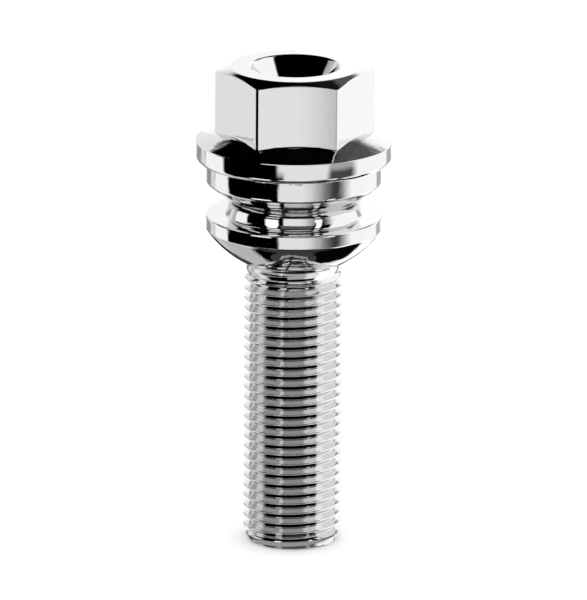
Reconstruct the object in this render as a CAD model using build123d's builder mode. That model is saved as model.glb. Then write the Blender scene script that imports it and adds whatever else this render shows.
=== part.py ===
from build123d import *
from math import cos, radians, sin, sqrt, tan
import os

# Lug bolt, M12 x 1.25, with a hexagon head, a flange, a grooved double collar and a ball seat.
# Millimetres. The axis is Z, and the flat tip of the shank lies on Z = 0.

os.makedirs("parts", exist_ok=True)

# Threaded shank, drawn at the thread's major diameter
thread_diameter = 12.0
thread_length = 33.0
tip_flat_drop = 0.65
tip_chamfer_height = 1.3
relief_depth = 0.22
relief_length = 1.9

# Ball seat and the two collars, which share one diameter
seat_radius = 13.0
collar_diameter = 21.5
lower_collar_height = 1.65
upper_collar_height = 2.5
lower_collar_edge_break = 0.25
upper_collar_edge_radius = 0.5

# Turned groove between the collars
groove_depth = 2.75
groove_floor_height = 1.25
groove_lower_radius = 2.2
groove_upper_radius = 1.6
groove_cone_angle = 38.0

# Flange under the hexagon
flange_overhang = 1.25
flange_height = 2.55
flange_edge_radius = 0.9
flange_rim_break = 0.12
flange_cone_angle = 20.0

# Hexagon for a 17 mm wrench
across_flats = 16.8
hexagon_height = 9.15
hexagon_corner_radius = 0.5
head_face_drop = 0.6
head_chamfer_angle = 24.0

# Forged recess in the head
head_face_width = 2.4
recess_half_angle = 30.0
recess_depth = 6.3
recess_floor_angle = 60.0
recess_mouth_radius = 0.3

# Two corners within this height of each other are taken as level
level_tolerance = 0.01

# Radii
thread_radius = thread_diameter / 2
tip_radius = thread_radius - tip_flat_drop
relief_radius = thread_radius - relief_depth
collar_radius = collar_diameter / 2
groove_radius = collar_radius - groove_depth
flange_radius = collar_radius + flange_overhang
hexagon_flat_radius = across_flats / 2
hexagon_corner_reach = hexagon_flat_radius / cos(radians(30))
head_face_radius = hexagon_flat_radius - head_face_drop
recess_radius = head_face_radius - head_face_width

# Heights, from the tip upwards
relief_start_z = thread_length + relief_depth
seat_start_z = relief_start_z + relief_length
seat_centre_z = seat_start_z + sqrt(seat_radius**2 - relief_radius**2)
seat_end_z = seat_centre_z - sqrt(seat_radius**2 - collar_radius**2)
lower_collar_top_z = seat_end_z + lower_collar_height
groove_floor_z = lower_collar_top_z + groove_floor_height

# Groove section: two arcs that share a vertical tangent at the floor, and a cone up to the collar
groove_foot_radius = groove_radius + groove_lower_radius - sqrt(groove_lower_radius**2 - groove_floor_height**2)
cone_start_turn = radians(90 - groove_cone_angle)
cone_start_radius = groove_radius + groove_upper_radius * (1 - cos(cone_start_turn))
cone_start_z = groove_floor_z + groove_upper_radius * sin(cone_start_turn)
upper_collar_foot_z = cone_start_z + (collar_radius - cone_start_radius) * tan(radians(groove_cone_angle))

flange_foot_z = upper_collar_foot_z + upper_collar_height
flange_rim_z = flange_foot_z + flange_height
flange_cone_rise = tan(radians(flange_cone_angle))
hexagon_root_radius = hexagon_flat_radius / 2
hexagon_root_z = flange_rim_z + (flange_radius - hexagon_root_radius) * flange_cone_rise
head_top_z = flange_rim_z + hexagon_height
head_chamfer_fall = tan(radians(head_chamfer_angle))

# Recess section: a cone from the mouth, and a blunt cone for its floor
recess_slope = tan(radians(recess_half_angle))
floor_rise = 1 / tan(radians(recess_floor_angle))
recess_floor_radius = (recess_radius - recess_depth * recess_slope) / (1 - floor_rise * recess_slope)
recess_floor_z = head_top_z - (recess_radius - recess_floor_radius) / recess_slope


def outer_corner(section, height):
    """The corner of a half section that lies furthest from the axis at one height."""
    corners = section.vertices().filter_by_position(Axis.Y, height - level_tolerance, height + level_tolerance)
    return corners.sort_by(Axis.X)[-1]


with BuildPart() as lug_bolt:

    # Hexagon prism with softened corners
    with BuildSketch(Plane.XY.offset(flange_rim_z)) as hexagon:
        RegularPolygon(radius=hexagon_flat_radius, side_count=6, major_radius=False)
        fillet(hexagon.vertices(), radius=hexagon_corner_radius)
    extrude(amount=hexagon_height)

    # Chamfer cone that takes the corners off the hexagon's top
    with BuildSketch(Plane.XZ) as chamfer_envelope:
        with BuildLine():
            Polyline(
                (0, flange_rim_z),
                (hexagon_corner_reach, flange_rim_z),
                (hexagon_corner_reach, head_top_z - (hexagon_corner_reach - head_face_radius) * head_chamfer_fall),
                (head_face_radius, head_top_z),
                (0, head_top_z),
                close=True,
            )
        make_face()
    revolve(axis=Axis.Z, mode=Mode.INTERSECT)

    # Turned body: shank, relief, ball seat, collars, groove and flange
    with BuildSketch(Plane.XZ) as body_section:
        with BuildLine():
            Polyline(
                (relief_radius, seat_start_z),
                (relief_radius, relief_start_z),
                (thread_radius, thread_length),
                (thread_radius, tip_chamfer_height),
                (tip_radius, 0),
                (0, 0),
                (0, hexagon_root_z),
                (hexagon_root_radius, hexagon_root_z),
                (flange_radius, flange_rim_z),
                (flange_radius, flange_foot_z),
                (collar_radius, flange_foot_z),
                (collar_radius, upper_collar_foot_z),
                (cone_start_radius, cone_start_z),
            )
            RadiusArc((cone_start_radius, cone_start_z), (groove_radius, groove_floor_z), -groove_upper_radius)
            RadiusArc((groove_radius, groove_floor_z), (groove_foot_radius, lower_collar_top_z), -groove_lower_radius)
            Polyline(
                (groove_foot_radius, lower_collar_top_z),
                (collar_radius, lower_collar_top_z),
                (collar_radius, seat_end_z),
            )
            RadiusArc((collar_radius, seat_end_z), (relief_radius, seat_start_z), seat_radius)
        make_face()
        chamfer(outer_corner(body_section, lower_collar_top_z), length=lower_collar_edge_break)
        fillet(outer_corner(body_section, upper_collar_foot_z), radius=upper_collar_edge_radius)
        fillet(outer_corner(body_section, flange_foot_z), radius=flange_edge_radius)
        chamfer(outer_corner(body_section, flange_rim_z), length=flange_rim_break)
    revolve(axis=Axis.Z)

    # Recess in the head
    with BuildSketch(Plane.XZ) as recess_section:
        with BuildLine():
            Polyline(
                (0, head_top_z),
                (recess_radius, head_top_z),
                (recess_floor_radius, recess_floor_z),
                (0, head_top_z - recess_depth),
                close=True,
            )
        make_face()
    revolve(axis=Axis.Z, mode=Mode.SUBTRACT)

    # Rounded mouth of the recess
    head_circles = lug_bolt.faces().sort_by(Axis.Z)[-1].edges().filter_by(GeomType.CIRCLE)
    fillet(head_circles.sort_by(SortBy.RADIUS)[0], radius=recess_mouth_radius)

lug_bolt.part.label = "lug_bolt"
export_step(lug_bolt.part, "parts/lug_bolt.step")
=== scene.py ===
from math import asin, cos, degrees, pi, radians, sin, sqrt, tan

import bmesh
import bpy
from mathutils import Matrix, Quaternion, Vector

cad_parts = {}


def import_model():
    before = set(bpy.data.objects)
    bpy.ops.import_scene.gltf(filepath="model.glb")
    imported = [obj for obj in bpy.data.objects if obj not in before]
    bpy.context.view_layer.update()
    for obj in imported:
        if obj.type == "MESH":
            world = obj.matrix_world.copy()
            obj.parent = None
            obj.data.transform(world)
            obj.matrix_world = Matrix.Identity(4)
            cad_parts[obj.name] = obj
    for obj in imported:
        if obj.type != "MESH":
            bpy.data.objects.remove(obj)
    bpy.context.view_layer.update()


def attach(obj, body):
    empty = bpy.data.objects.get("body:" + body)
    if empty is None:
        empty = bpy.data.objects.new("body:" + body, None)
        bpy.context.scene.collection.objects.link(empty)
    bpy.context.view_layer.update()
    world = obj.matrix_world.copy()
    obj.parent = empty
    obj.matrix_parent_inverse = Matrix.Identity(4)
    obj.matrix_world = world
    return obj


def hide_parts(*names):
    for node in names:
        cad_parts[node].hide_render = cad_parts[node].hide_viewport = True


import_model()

# A chromed lug bolt, M12 x 1.25. Sections are drawn in millimetres and scaled to metres at the end.
# The axis is Z, the flat tip lies on Z = 0, and the camera stands in front, towards -Y.

METRES = 0.001

# Flange
FLANGE_RADIUS = 12.0
FLANGE_TOP = 50.333
FLANGE_FOOT = 47.783
FLANGE_CONE_FALL = tan(radians(20))
FLANGE_EDGE = 0.9
FLANGE_RIM_EDGE = 0.12
FLANGE_RIM_TURN = radians(70)

# Hexagon and head
ACROSS_FLATS = 16.8
HEX_FLAT = ACROSS_FLATS / 2
HEX_CORNER_RADIUS = 0.5
HEX_SECTOR = pi / 3
HALF_SECTOR = pi / 6
HEAD_TOP = 59.483
HEAD_FACE_RADIUS = 7.8
HEAD_CHAMFER_FALL = tan(radians(24))
HEAD_EDGE = 0.08
HEX_SHOULDER = HEAD_TOP - (HEX_FLAT - HEAD_FACE_RADIUS) * HEAD_CHAMFER_FALL
HEX_FOOT = FLANGE_TOP + (FLANGE_RADIUS - HEX_FLAT) * FLANGE_CONE_FALL

# Recess in the head
RECESS_MOUTH = 5.4
RECESS_MOUTH_TURN = radians(60)
RECESS_FLOOR_RADIUS = 2.644
RECESS_FLOOR = 54.71
RECESS_APEX = 53.183
RECESS_EDGE = 0.3

# Collars and the groove between them
COLLAR_RADIUS = 10.75
UPPER_COLLAR_FOOT = 45.283
UPPER_COLLAR_EDGE = 0.5
LOWER_COLLAR_TOP = 41.104
LOWER_COLLAR_EDGE = 0.25
GROOVE_RADIUS = 8.0
GROOVE_FLOOR = 42.354
GROOVE_UPPER_ARC = 1.6
GROOVE_LOWER_ARC = 2.2
GROOVE_CONE_TURN = pi / 2 - radians(38)
INNER_CORNER = 0.1

# Ball seat and relief
SEAT_RADIUS = 13.0
SEAT_CENTRE = 46.764
SEAT_RIM = 10.7
SEAT_FOOT_EDGE = 0.12
COLLAR_BREAK = 39.5
RELIEF_RADIUS = 5.78
RELIEF_FOOT = 34.7

# Thread
PITCH = 1.25
CREST_RADIUS = 6.0
CREST_HALF_WIDTH = PITCH / 16
CREST_EDGE = 0.035
ROOT_ARC = 0.06
LOWER_FLANK = radians(50)
UPPER_FLANK = radians(66)
FLANK_RUN = PITCH - 2 * CREST_HALF_WIDTH - ROOT_ARC / sin(LOWER_FLANK) - ROOT_ARC / sin(UPPER_FLANK)
ROOT_DEPTH = FLANK_RUN / (1 / tan(LOWER_FLANK) + 1 / tan(UPPER_FLANK))
FRONT_ROOT_HEIGHT = 32.71
TIP_RADIUS = 5.35
TIP_CHAMFER_SLOPE = 0.5
RUN_OUT_START = 32.3
RUN_OUT_SHARE = 0.86
THREAD_TOP = 34.6

# How finely it is made
SECTOR_COLUMNS = 60
CORNER_COLUMNS = 6
CORNER_HALF_TURN = radians(1.5)
CORNER_MARGIN = radians(0.25)
THREAD_COLUMNS = 108
THREAD_TURNS = 30
LONG_EDGE = 0.5
BODY_MARGIN = 0.04
FLANK_MARGIN = 0.02

# How near points have to be to be merged, or to count as on the axis, on a cut or level
BODY_MERGE = 1e-4
THREAD_MERGE = 1e-3
NEAR_AXIS = 1e-3
NEAR_CUT = 1e-5
NEAR_LEVEL = 0.01

# Plating: zones as the four heights between which they fade in and out, then its relief and gloss
TURNED_ZONE = (34, 35, 51.5, 51.6)
GROOVE_ZONE = (41, 41.3, 45, 45.4)
WAVE_SCALE = 0.45
WAVE_HEIGHT = 0.01
TURNED_WAVE_HEIGHT = 0.04
GROOVE_CALM = 0.7
LINE_SCALE = 5
LINE_TURN_SCALE = 2
LINE_HEIGHT = 0.001
GRAIN_SCALE = 2.5
GRAIN_DETAIL = 4.0
GRAIN_HEIGHT = 0.003
CHROME_COLOUR = (0.7, 0.7, 0.7, 1)
LEAST_ROUGHNESS = 0.03
GRAIN_ROUGHNESS = 0.03

# Camera
FRAME_LONG_SIDE = 600
FOCAL_PIXELS = 8405.0
CAMERA_DISTANCE = 1020.0
CAMERA_ELEVATION = radians(16.3)
CAMERA_TURN = radians(2.1)
CAMERA_ROLL = radians(0.37)
TARGET_HEIGHT = 30.1
FRONT_AZIMUTH = radians(270) - CAMERA_TURN

# Floor, in metres, and the light of the sky
FLOOR_REACH = 3
FLOOR_DROP = 0.00002
FLOOR_COLOUR = (0.9, 0.9, 0.9, 1)
FLOOR_ROUGHNESS = 0.9
SKY_COLOUR = (1, 1, 1, 1)
SKY_STRENGTH = 1.5

# Studio
SURROUND_RADIUS = 3000.0
SURROUND_HEIGHT = 40.0
SURROUND_RINGS = 32
TIP_LIGHT_RADIUS = 12
TIP_LIGHT_HEIGHT = -4
STUDIO_SEGMENTS = 64

# The studio as the chrome sees it. Azimuth 0 is towards the camera and grows to its right, in degrees.
# Each panel has four azimuths, four heights and a brightness: it fades in between the first two, and
# out between the last two. A later panel covers the earlier ones.
START = (-999, -998)
FINISH = (998, 999)
ALL = (*START, *FINISH)

# Far walls, with elevations in degrees for the heights
FAR_STUDIO = (
    # Grey table in front, with the light of two strips on it
    ((-98, -92, 72, 78), (-46, -41, -13, -9), 0.5),
    ((-38, -34, -28, -24), (-46, -41, -13, -9), 1.0),
    ((27, 38, 72, 78), (-46, -41, -13, -9), 1.05),
    # Grey left wall, brighter towards the back
    ((-130, -120, -88, -76), (-66, -58, 20, 26), 0.62),
    ((*START, -130, -120), (-66, -58, 24, 34), 0.95),
    ((-112, -107, -92, -84), (-66, -58, 20, 26), 1.05),
    # White right wall, and the back wall up to the dark ceiling
    ((64, 71, *FINISH), (-60, -50, 46, 56), 1.3),
    ((64, 71, *FINISH), (-60, -50, -20, -17), 1.6),
    ((*START, -168, -160), (-20, -10, 22, 34), 1.2),
    ((118, 128, *FINISH), (24, 38, 60, 70), 0.01),
    ((118, 128, *FINISH), (24, 38, 47, 51), 0.11),
    # Grey ground to the left of the ball seat
    ((-170, -165, -115, -108), (-64, -58, -40, -34), 0.62),
    # Dark skirting at the back
    ((*START, -165, -158), (-44, -38, -18, -16), 0.05),
    ((167, 172, *FINISH), (-36, -30, -18, -16), 0.05),
    # Slim stands at the back, grey on the left and lighter on the right
    ((-160, -153, -142, -135), (-40, -30, 0, 10), 0.38),
    ((132, 138, 148, 155), (-40, -30, 0, 10), 0.55),
    # Dim wall in front, above eye level, and the two strips themselves
    ((-26, -22, 31, 36), (15, 18, 35, 38), 0.12),
    ((-50, -46, -32, -29), (14, 17, 32, 36), 1.6),
    ((37, 40, 46, 50), (14, 17, 32, 36), 1.5),
    # Painted shade on the ground under the head, and the bolt's shadow on the right
    ((-110, -100, *FINISH), (*START, -70, -62), 0.05),
    ((96, 104, 156, 164), (-80, -73, -45, -39), 0.002),
)

# Disc under the tip, with distances from the axis for the heights: painted shade round a lighter middle
TIP_LIGHT = (
    (ALL, ALL, 0.06),
    (ALL, (*START, 7.9, 8.3), 0.4),
)

# Screen round the collars, with heights in millimetres: white left, window in front, white right
LOWER_SCREEN = (
    ((*START, -73, -69), ALL, 1.25),
    ((0, 1, *FINISH), ALL, 0.06),
    ((-16, -13, 6, 40), (36.2, 36.6, *FINISH), 1.06),
    ((41, 61, *FINISH), ALL, 1.28),
    ((-42, -38, -23, -20), (38.9, 39.3, 42.2, 42.7), 1.5),
    ((27, 30, 38, 41), (38.9, 39.3, 42.2, 42.7), 1.4),
)

# Two strips level with the groove, and a screen above them that only the groove sees
LEFT_STRIP = ((-38, -35, -21, -18), ALL, 1.6)
RIGHT_STRIP = ((27, 29, 34, 37), ALL, 1.5)
GROOVE_SCREEN = (
    ((-19, -16, 22, 26), ALL, 0.1),
    LEFT_STRIP,
    RIGHT_STRIP,
    ((40, 44, *FINISH), ALL, 1.28),
)

# Screen round the flange, with a slanting left edge to its window
MIDDLE_SCREEN = (
    ((*START, -51, -48), ALL, 1.25),
    ((19, 24, *FINISH), ALL, 0.08),
    ((19, 24, *FINISH), (48.8, 49.6, *FINISH), 0.5),
    ((-8, -5, 19, 24), ALL, 1.06),
    ((-12, -9, 19, 24), (48.0, 49.6, *FINISH), 1.06),
    ((37, 44, *FINISH), ALL, 1.28),
)

# Screen round the hexagon, white on the left and dimmer to the right of its window
UPPER_SCREEN = (
    ((*START, -66, -60), ALL, 1.02),
    ((-24, -22, *FINISH), ALL, 0.55),
    ((-24, -22, 0, 36), ALL, 1.06),
    ((36, 44, *FINISH), ALL, 1.28),
)

# Name, radius, left and right azimuth, foot, top and panels of each curved screen
SCREENS = (
    ("lower_screen", 19.0, -95, 75, 33.5, 45.4, LOWER_SCREEN),
    ("left_strip", 14.5, -39, -17, 42.3, 44.3, (LEFT_STRIP,)),
    ("right_strip", 14.5, 26, 38, 42.3, 44.3, (RIGHT_STRIP,)),
    ("groove_screen", 14.5, -62, 60, 46.8, 49.6, GROOVE_SCREEN),
    ("middle_screen", 13.0, -70, 75, 47.35, 50.2, MIDDLE_SCREEN),
    ("upper_screen", 14.5, -125, 75, 49.7, 57.4, UPPER_SCREEN),
)


def arc_offset(radius, turn):
    """How far along its two sides a corner is cut back for a rounding of this radius."""
    return radius * tan(turn / 2)


def smooth_step(low, high, value):
    """Rises smoothly from 0 at the low value to 1 at the high one."""
    share = min(max((value - low) / (high - low), 0), 1)
    return share * share * (3 - 2 * share)


class Section:
    """A half section: one chain of edges in the XZ plane, drawn from its first corner on."""

    def __init__(self, radius, height):
        self.mesh = bmesh.new()
        self.end = self.mesh.verts.new((radius, 0, height))
        self.corners = []

    def line(self, radius, height, rounding=0.0, segments=3):
        """Draws on to a corner, which may get a rounding."""
        grown = bmesh.ops.extrude_vert_indiv(self.mesh, verts=[self.end])
        self.end = grown["verts"][0]
        self.end.co = (radius, 0, height)
        if rounding:
            self.round_end(rounding, segments)

    def arc(self, radius, height, turn, steps):
        """Carries the chain round a centre. A positive turn goes clockwise, seen from the front."""
        spun = bmesh.ops.spin(
            self.mesh,
            geom=[self.end],
            cent=(radius, 0, height),
            axis=(0, 1, 0),
            angle=turn,
            steps=steps,
        )
        self.end = spun["geom_last"][0]

    def round_end(self, rounding, segments=3):
        """Notes a rounding for the corner that the chain has reached."""
        self.corners.append((self.end, rounding, segments))

    def finish(self, margin):
        """Rounds the noted corners and cuts long edges close to both ends, so that they shade flat."""
        for corner, rounding, segments in self.corners:
            bmesh.ops.bevel(
                self.mesh,
                geom=[corner],
                offset=rounding,
                offset_type="OFFSET",
                segments=segments,
                profile=0.5,
                affect="VERTICES",
                material=-1,
            )
        for edge in [e for e in self.mesh.edges if e.calc_length() > LONG_EDGE]:
            length = edge.calc_length()
            first, last = edge.verts
            part, _ = bmesh.utils.edge_split(edge, first, margin / length)
            rest = edge if last in edge.verts else part
            bmesh.utils.edge_split(rest, last, margin / (length - margin))

    def chain(self):
        """All of the section, as spin takes it."""
        return self.mesh.verts[:] + self.mesh.edges[:]


def corner_turn(azimuth):
    """Azimuth measured from the nearest corner of the hexagon, from -30 to 30 degrees."""
    return (azimuth + HALF_SECTOR) % HEX_SECTOR - HALF_SECTOR


def crowded_azimuth(azimuth):
    """Moves an even column of the spin so that more columns fall on the hexagon's corners."""
    turn = corner_turn(azimuth)
    sector = azimuth - turn
    column = round(turn / HEX_SECTOR * SECTOR_COLUMNS)
    side = -1 if column < 0 else 1
    if abs(column) <= CORNER_COLUMNS:
        return sector + column / CORNER_COLUMNS * CORNER_HALF_TURN
    flat_start = CORNER_HALF_TURN + CORNER_MARGIN
    share = (abs(column) - CORNER_COLUMNS - 1) / (SECTOR_COLUMNS / 2 - CORNER_COLUMNS - 1)
    return sector + side * (flat_start + share * (HALF_SECTOR - flat_start))


def hexagon_radius(azimuth):
    """Distance from the axis to the hexagon's outline, with its softened corners."""
    turn = abs(corner_turn(azimuth))
    if turn >= CORNER_HALF_TURN:
        return HEX_FLAT / cos(HALF_SECTOR - turn)
    centre = (HEX_FLAT - HEX_CORNER_RADIUS) / cos(HALF_SECTOR)
    return centre * cos(turn) + sqrt(HEX_CORNER_RADIUS**2 - (centre * sin(turn)) ** 2)


def hexagon_share(radius, height):
    """How far towards the hexagon's outline a point of the round section moves, and its fall."""
    if height < FLANGE_TOP or radius < HEAD_FACE_RADIUS:
        return 0.0, 0.0
    if radius > HEX_FLAT:
        return (FLANGE_RADIUS - radius) / (FLANGE_RADIUS - HEX_FLAT), FLANGE_CONE_FALL
    rise = min(max((height - HEX_FOOT) / (HEX_SHOULDER - HEX_FOOT), 0), 1)
    fall = FLANGE_CONE_FALL + rise * (HEAD_CHAMFER_FALL - FLANGE_CONE_FALL)
    share = (radius - HEAD_FACE_RADIUS) / (HEX_FLAT - HEAD_FACE_RADIUS) if rise == 1 else 1.0
    return min(share, 1.0), fall


def head_section():
    """Half of everything above the thread, from the recess's floor over the top down to the relief."""
    section = Section(0, RECESS_APEX)
    section.line(RECESS_FLOOR_RADIUS, RECESS_FLOOR, RECESS_EDGE, segments=4)
    section.line(RECESS_MOUTH, HEAD_TOP, arc_offset(RECESS_EDGE, RECESS_MOUTH_TURN), segments=5)
    section.line(HEAD_FACE_RADIUS, HEAD_TOP, HEAD_EDGE)
    section.line(HEX_FLAT, HEX_SHOULDER, HEAD_EDGE)
    section.line(HEX_FLAT, HEX_FOOT, INNER_CORNER)
    section.line(FLANGE_RADIUS, FLANGE_TOP, arc_offset(FLANGE_RIM_EDGE, FLANGE_RIM_TURN), segments=4)
    section.line(FLANGE_RADIUS, FLANGE_FOOT, FLANGE_EDGE, segments=12)
    section.line(COLLAR_RADIUS, FLANGE_FOOT, INNER_CORNER)
    collar_cut = arc_offset(UPPER_COLLAR_EDGE, GROOVE_CONE_TURN)
    section.line(COLLAR_RADIUS, UPPER_COLLAR_FOOT, collar_cut, segments=6)
    cone_start = GROOVE_RADIUS + GROOVE_UPPER_ARC * (1 - cos(GROOVE_CONE_TURN))
    section.line(cone_start, GROOVE_FLOOR + GROOVE_UPPER_ARC * sin(GROOVE_CONE_TURN))
    section.arc(GROOVE_RADIUS + GROOVE_UPPER_ARC, GROOVE_FLOOR, -GROOVE_CONE_TURN, steps=9)
    foot_turn = asin((GROOVE_FLOOR - LOWER_COLLAR_TOP) / GROOVE_LOWER_ARC)
    section.arc(GROOVE_RADIUS + GROOVE_LOWER_ARC, GROOVE_FLOOR, -foot_turn, steps=7)
    section.round_end(INNER_CORNER)
    section.line(COLLAR_RADIUS, LOWER_COLLAR_TOP, LOWER_COLLAR_EDGE, segments=5)
    section.line(COLLAR_RADIUS, COLLAR_BREAK)
    section.line(SEAT_RIM, SEAT_CENTRE - sqrt(SEAT_RADIUS**2 - SEAT_RIM**2))
    seat_turn = asin(SEAT_RIM / SEAT_RADIUS) - asin(RELIEF_RADIUS / SEAT_RADIUS)
    section.arc(0, SEAT_CENTRE, seat_turn, steps=20)
    section.round_end(SEAT_FOOT_EDGE)
    section.line(RELIEF_RADIUS, RELIEF_FOOT)
    section.finish(BODY_MARGIN)
    return section


def head_and_collars():
    """The head's section spun round, with the part above the flange pulled out to a hexagon."""
    section = head_section()
    mesh = section.mesh
    bmesh.ops.spin(
        mesh,
        geom=section.chain(),
        cent=(0, 0, 0),
        axis=(0, 0, 1),
        angle=2 * pi,
        steps=6 * SECTOR_COLUMNS,
        use_merge=True,
    )
    bmesh.ops.remove_doubles(mesh, verts=mesh.verts[:], dist=BODY_MERGE)
    for vert in mesh.verts:
        radius = vert.co.xy.length
        if radius < NEAR_AXIS:
            continue
        azimuth = crowded_azimuth(-Vector((1, 0)).angle_signed(vert.co.xy))
        share, fall = hexagon_share(radius, vert.co.z)
        shift = share * (hexagon_radius(azimuth) - HEX_FLAT)
        radius += shift
        vert.co = (radius * cos(azimuth), radius * sin(azimuth), vert.co.z - shift * fall)
    return mesh


def thread_section():
    """One pitch of the thread, from the middle of a root up to the next. It starts below the tip."""
    root_at_start = FRONT_ROOT_HEIGHT + PITCH * (2 * pi - FRONT_AZIMUTH) / (2 * pi)
    foot = root_at_start % PITCH - 2 * PITCH
    root_centre = CREST_RADIUS - ROOT_DEPTH
    crest_foot = foot + (ROOT_DEPTH + ROOT_ARC / cos(LOWER_FLANK)) / tan(LOWER_FLANK)
    flank_end = root_centre - ROOT_ARC * cos(UPPER_FLANK)
    section = Section(root_centre - ROOT_ARC, foot)
    section.arc(root_centre, foot, LOWER_FLANK, steps=2)
    section.line(CREST_RADIUS, crest_foot, CREST_EDGE, segments=2)
    section.line(CREST_RADIUS, crest_foot + 2 * CREST_HALF_WIDTH, CREST_EDGE, segments=2)
    section.line(flank_end, foot + PITCH - ROOT_ARC * sin(UPPER_FLANK))
    section.arc(root_centre, foot + PITCH, UPPER_FLANK, steps=2)
    section.finish(FLANK_MARGIN)
    return section


def threaded_shank():
    """The right-hand thread with its tip chamfer and its run-out, cut off flat at both ends."""
    section = thread_section()
    mesh = section.mesh
    bmesh.ops.spin(
        mesh,
        geom=section.chain(),
        cent=(0, 0, 0),
        axis=(0, 0, 1),
        dvec=(0, 0, PITCH / THREAD_COLUMNS),
        angle=2 * pi,
        steps=THREAD_COLUMNS,
    )
    one_turn = mesh.verts[:] + mesh.edges[:] + mesh.faces[:]
    for turn in range(1, THREAD_TURNS):
        copied = bmesh.ops.duplicate(mesh, geom=one_turn)["geom"]
        verts = [part for part in copied if isinstance(part, bmesh.types.BMVert)]
        bmesh.ops.translate(mesh, vec=(0, 0, PITCH * turn), verts=verts)
    bmesh.ops.remove_doubles(mesh, verts=mesh.verts[:], dist=THREAD_MERGE)
    for vert in mesh.verts:
        radius = vert.co.xy.length
        run_out = RUN_OUT_SHARE * smooth_step(RUN_OUT_START, THREAD_TOP, vert.co.z)
        wanted = radius + run_out * (RELIEF_RADIUS - radius)
        wanted = min(wanted, TIP_RADIUS + TIP_CHAMFER_SLOPE * vert.co.z)
        vert.co.x *= wanted / radius
        vert.co.y *= wanted / radius
    for height, side in ((0, -1), (THREAD_TOP, 1)):
        bmesh.ops.bisect_plane(
            mesh,
            geom=mesh.verts[:] + mesh.edges[:] + mesh.faces[:],
            dist=NEAR_CUT,
            plane_co=(0, 0, height),
            plane_no=(0, 0, side),
            clear_outer=True,
        )
    return mesh


def rim_edges(mesh, height):
    """The open edges of a mesh that lie at one height."""
    rims = [edge for edge in mesh.edges if edge.is_boundary]
    return [edge for edge in rims if all(abs(vert.co.z - height) < NEAR_LEVEL for vert in edge.verts)]


def scale_to_metres(mesh):
    bmesh.ops.scale(mesh, vec=(METRES, METRES, METRES), verts=mesh.verts[:])


def new_object(name, mesh, material):
    """Makes an object of a mesh that is finished, and adds it to the scene."""
    data = bpy.data.meshes.new(name)
    mesh.to_mesh(data)
    mesh.free()
    data.materials.append(material)
    made = bpy.data.objects.new(name, data)
    bpy.context.scene.collection.objects.link(made)
    return made


def bolt(material):
    """The whole bolt as one closed mesh: head and shank bridged, and a flat face at the tip."""
    mesh = head_and_collars()
    shank = threaded_shank()
    loose = bpy.data.meshes.new("shank")
    shank.to_mesh(loose)
    shank.free()
    mesh.from_mesh(loose)
    bpy.data.meshes.remove(loose)
    bmesh.ops.bridge_loops(mesh, edges=rim_edges(mesh, THREAD_TOP) + rim_edges(mesh, RELIEF_FOOT))
    bmesh.ops.contextual_create(mesh, geom=rim_edges(mesh, 0))
    bmesh.ops.recalc_face_normals(mesh, faces=mesh.faces[:])
    scale_to_metres(mesh)
    for face in mesh.faces:
        face.smooth = True
    return new_object("lug_bolt_chromed", mesh, material)


class Value:
    """A number that changes over a surface. Arithmetic on it adds Math nodes."""

    def __init__(self, shader, socket):
        self.shader = shader
        self.socket = socket

    def math(self, operation, *terms):
        return self.shader.value("ShaderNodeMath", {"operation": operation}, *terms)

    def __add__(self, other):
        return self.math("ADD", self, other)

    def __sub__(self, other):
        return self.math("SUBTRACT", self, other)

    def __rsub__(self, other):
        return self.math("SUBTRACT", other, self)

    def __mul__(self, other):
        return self.math("MULTIPLY", self, other)

    def __pow__(self, other):
        return self.math("POWER", self, other)

    __radd__ = __add__
    __rmul__ = __mul__

    def angle_over(self, other):
        """The angle, in radians, whose tangent is this value over the other."""
        return self.math("ARCTAN2", self, other)

    def step(self, low, high):
        """Rises smoothly from 0 where the value is low to 1 where it is high."""
        return self.shader.value(
            "ShaderNodeMapRange", {"interpolation_type": "SMOOTHSTEP"}, self, From_Min=low, From_Max=high
        )

    def window(self, knots):
        """1 between the two middle knots, and 0 outside the two outer ones."""
        return self.step(knots[0], knots[1]) * (1 - self.step(knots[2], knots[3]))

    def mix(self, other, share):
        """This value where the share is 0, and the other where it is 1."""
        return self + share * (other - self)


class Shader:
    """A node tree under construction. Every node is made by one method."""

    def __init__(self, owner):
        owner.use_nodes = True
        self.tree = owner.node_tree
        self.tree.nodes.clear()

    def node(self, kind, settings=None, *inputs, **named):
        """Adds a node of a kind, with its settings first and then its sockets, by order or by name."""
        made = self.tree.nodes.new(kind)
        for name, setting in (settings or {}).items():
            setattr(made, name, setting)
        by_name = [(name.replace("_", " "), given) for name, given in named.items()]
        for key, given in list(enumerate(inputs)) + by_name:
            given = given.socket if isinstance(given, Value) else given
            if isinstance(given, bpy.types.NodeSocket):
                self.tree.links.new(given, made.inputs[key])
            else:
                made.inputs[key].default_value = given
        return made

    def value(self, kind, settings=None, *inputs, **named):
        """Adds a node and gives its first output."""
        return Value(self, self.node(kind, settings, *inputs, **named).outputs[0])

    def millimetres(self):
        """The object's own coordinates, in millimetres."""
        place = self.node("ShaderNodeTexCoord").outputs["Object"]
        scaled = self.node("ShaderNodeVectorMath", {"operation": "SCALE"}, place, Scale=1 / METRES)
        split = self.node("ShaderNodeSeparateXYZ", None, scaled.outputs[0])
        return [Value(self, socket) for socket in split.outputs]

    def noise(self, x, y, z, detail=2.0):
        """Noise between 0 and 1, with its coordinates given one by one."""
        place = self.value("ShaderNodeCombineXYZ", None, x, y, z)
        return self.value("ShaderNodeTexNoise", None, place, Scale=1.0, Detail=detail)


def axis_distance(x, y):
    return (x * x + y * y) ** 0.5


def front_azimuth(x, y):
    """Degrees to the right of the direction of the camera, as the panels of the studio count them."""
    return x.angle_over(0 - y) * degrees(1)


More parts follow.
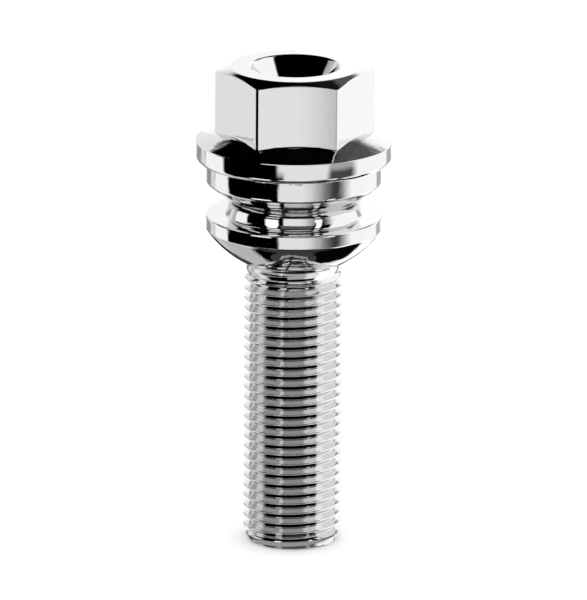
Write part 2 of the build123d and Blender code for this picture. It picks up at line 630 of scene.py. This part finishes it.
def chrome():
    """Polished plating: faint waves all over, turning lines below the hexagon and grain on the thread."""
    material = bpy.data.materials.new("chrome_plating")
    shader = Shader(material)
    x, y, z = shader.millimetres()
    turned = z.window(TURNED_ZONE)
    groove = z.window(GROOVE_ZONE)
    thread = 1 - z.step(*TURNED_ZONE[:2])
    waves = shader.noise(x * WAVE_SCALE, y * WAVE_SCALE, z * WAVE_SCALE)
    turn = y.angle_over(x)
    lines = shader.noise(axis_distance(x, y) * LINE_SCALE, z * LINE_SCALE, turn * LINE_TURN_SCALE)
    grain = shader.noise(x * GRAIN_SCALE, y * GRAIN_SCALE, z * GRAIN_SCALE, detail=GRAIN_DETAIL)
    wave_height = WAVE_HEIGHT + TURNED_WAVE_HEIGHT * turned * (1 - GROOVE_CALM * groove)
    height = waves * wave_height + turned * lines * LINE_HEIGHT + thread * grain * GRAIN_HEIGHT
    bump = shader.node("ShaderNodeBump", None, Strength=1.0, Distance=METRES, Height=height)
    surface = shader.node(
        "ShaderNodeBsdfPrincipled",
        None,
        Metallic=1.0,
        Base_Color=CHROME_COLOUR,
        Roughness=LEAST_ROUGHNESS + GRAIN_ROUGHNESS * grain,
        Normal=bump.outputs["Normal"],
    )
    shader.node("ShaderNodeOutputMaterial", None, surface.outputs["BSDF"])
    return material


def studio_piece(name, mesh):
    """A piece of the studio that only reflections see, turned so that its front faces the camera."""
    scale_to_metres(mesh)
    material = bpy.data.materials.new(name)
    material.cycles.emission_sampling = "NONE"
    piece = new_object(name, mesh, material)
    piece.rotation_euler.z = -CAMERA_TURN
    for kind in ("camera", "diffuse", "transmission", "volume_scatter", "shadow"):
        setattr(piece, "visible_" + kind, False)
    return Shader(material)


def paint_light(shader, azimuth, height, panels):
    """Lets a piece of the studio glow, black where it has no panel."""
    light = 0 * height
    for across, upwards, brightness in panels:
        light = light.mix(brightness, azimuth.window(across) * height.window(upwards))
    emission = shader.node("ShaderNodeEmission", None, Color=light, Strength=1.0)
    shader.node("ShaderNodeOutputMaterial", None, emission.outputs["Emission"])


def far_studio():
    """A sphere round the bolt with the far walls painted inside."""
    mesh = bmesh.new()
    bmesh.ops.create_uvsphere(
        mesh, u_segments=STUDIO_SEGMENTS, v_segments=SURROUND_RINGS, radius=SURROUND_RADIUS
    )
    bmesh.ops.translate(mesh, vec=(0, 0, SURROUND_HEIGHT), verts=mesh.verts[:])
    shader = studio_piece("far_studio", mesh)
    x, y, z = shader.millimetres()
    elevation = (z - SURROUND_HEIGHT).angle_over(axis_distance(x, y)) * degrees(1)
    paint_light(shader, front_azimuth(x, y), elevation, FAR_STUDIO)


def tip_light():
    """A disc under the bolt that lights the chamfer at the tip. Its dark rim is painted shade under the
    head, for the ball seat.
    """
    mesh = bmesh.new()
    bmesh.ops.create_circle(mesh, cap_ends=True, segments=STUDIO_SEGMENTS, radius=TIP_LIGHT_RADIUS)
    bmesh.ops.translate(mesh, vec=(0, 0, TIP_LIGHT_HEIGHT), verts=mesh.verts[:])
    shader = studio_piece("tip_light", mesh)
    x, y, z = shader.millimetres()
    paint_light(shader, x, axis_distance(x, y), TIP_LIGHT)


def screen(name, radius, left, right, foot, top, panels):
    """A curved screen in front of the head, from its left azimuth to its right one."""
    mesh = bmesh.new()
    start = Matrix.Rotation(radians(left), 3, "Z") @ Vector((0, -radius, 0))
    lower = mesh.verts.new((start.x, start.y, foot))
    upper = mesh.verts.new((start.x, start.y, top))
    edge = mesh.edges.new((lower, upper))
    bmesh.ops.spin(
        mesh,
        geom=[lower, upper, edge],
        cent=(0, 0, 0),
        axis=(0, 0, 1),
        angle=radians(right - left),
        steps=STUDIO_SEGMENTS,
    )
    shader = studio_piece(name, mesh)
    x, y, z = shader.millimetres()
    paint_light(shader, front_azimuth(x, y), z, panels)


def floor():
    """A pale floor just under the tip, which the chrome doesn't reflect."""
    material = bpy.data.materials.new("pale_floor")
    shader = Shader(material)
    surface = shader.node(
        "ShaderNodeBsdfPrincipled", None, Base_Color=FLOOR_COLOUR, Roughness=FLOOR_ROUGHNESS
    )
    shader.node("ShaderNodeOutputMaterial", None, surface.outputs["BSDF"])
    mesh = bmesh.new()
    bmesh.ops.create_grid(mesh, x_segments=1, y_segments=1, size=FLOOR_REACH)
    ground = new_object("floor", mesh, material)
    ground.location.z = -FLOOR_DROP
    ground.visible_glossy = False


def world():
    """Even white light from all sides."""
    sky = bpy.data.worlds.new("studio")
    bpy.context.scene.world = sky
    shader = Shader(sky)
    sky.cycles.sampling_method = "NONE"
    light = shader.node("ShaderNodeBackground", None, Color=SKY_COLOUR, Strength=SKY_STRENGTH)
    shader.node("ShaderNodeOutputWorld", None, light.outputs["Background"])


def camera():
    """A long lens that looks down at the bolt from in front, with the slight roll of the photograph."""
    data = bpy.data.cameras.new("camera")
    data.lens = FOCAL_PIXELS * data.sensor_width / FRAME_LONG_SIDE
    eye = bpy.data.objects.new("camera", data)
    bpy.context.scene.collection.objects.link(eye)
    reach = cos(CAMERA_ELEVATION)
    back = Vector((-reach * sin(CAMERA_TURN), -reach * cos(CAMERA_TURN), sin(CAMERA_ELEVATION)))
    eye.location = (Vector((0, 0, TARGET_HEIGHT)) + back * CAMERA_DISTANCE) * METRES
    eye.rotation_mode = "QUATERNION"
    eye.rotation_quaternion = (-back).to_track_quat("-Z", "Y") @ Quaternion((0, 0, 1), CAMERA_ROLL)
    bpy.context.scene.camera = eye


plating = chrome()
body = bolt(plating)
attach(body, "root")
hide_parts("lug_bolt")
floor()
far_studio()
tip_light()
for name, radius, left, right, foot, top, panels in SCREENS:
    screen(name, radius, left, right, foot, top, panels)
world()
camera()
bpy.context.scene.view_settings.view_transform = "Standard"
